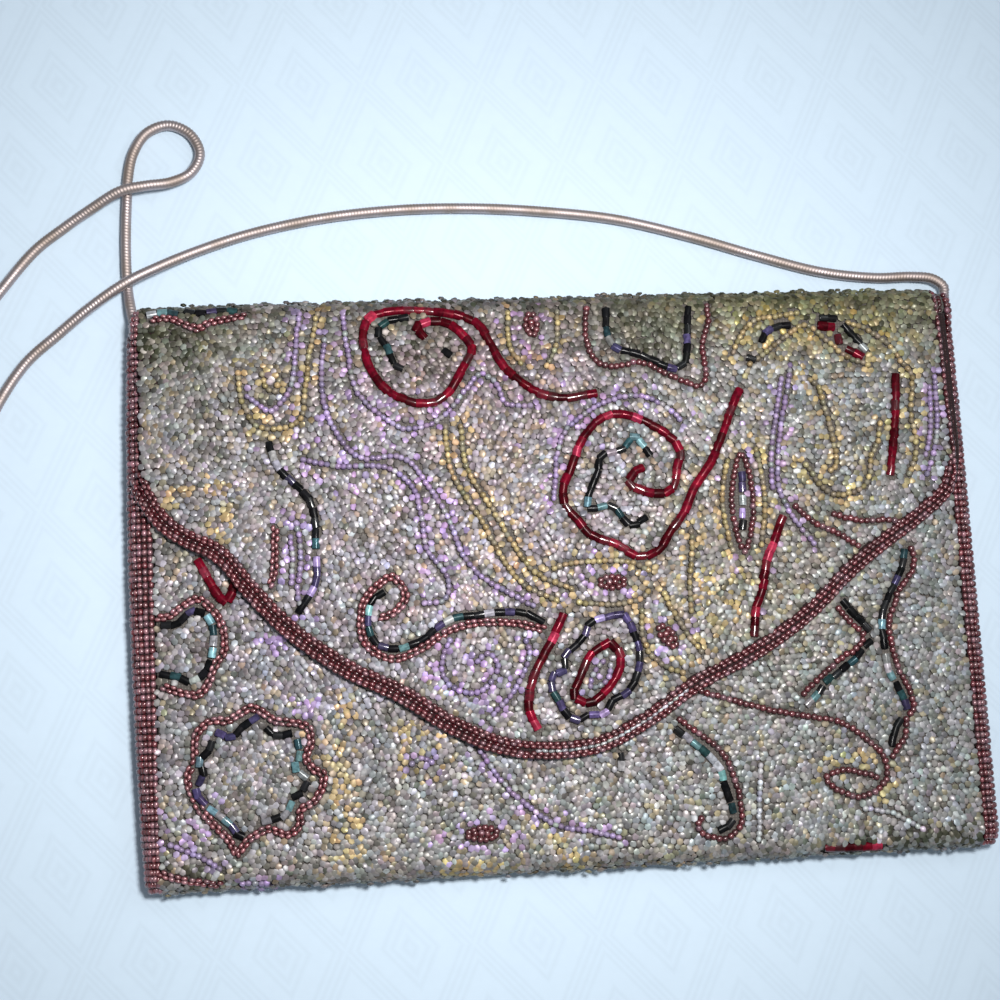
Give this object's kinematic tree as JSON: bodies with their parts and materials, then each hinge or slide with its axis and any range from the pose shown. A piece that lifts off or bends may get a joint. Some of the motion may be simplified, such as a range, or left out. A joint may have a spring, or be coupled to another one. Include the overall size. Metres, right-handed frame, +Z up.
{
  "type": "beaded clutch bag",
  "caption": "Flat beaded evening clutch with a pointed flap, dark red beaded bindings and a snake chain strap, lying on its back.",
  "frame": {"origin": "middle of the back of the bag, on the surface that it lies on", "axes": "+X to the right seen from the front, +Y to the top fold, +Z up, out of the front of the bag"},
  "size_m": [0.3021, 0.2462, 0.0134],
  "materials": {
    "ground_beads": "cloth covered with silver, pale gold and lilac glass seed beads",
    "dark_red_beads": "rows of glossy dark red glass seed beads sewn on cloth",
    "stud_metal": "plain press stud",
    "chain_metal": "pale gold plated snake chain"
  },
  "bodies": {
    "root": {"back_and_flap": "ground_beads", "front_panel": "ground_beads", "side_binding_left": "dark_red_beads", "side_binding_right": "dark_red_beads", "flap_binding": "dark_red_beads", "press_stud": "stud_metal", "chain_cap_left": "chain_metal", "chain_cap_right": "chain_metal", "chain_left": "chain_metal", "chain_right": "chain_metal"}
  },
  "joints": []
}
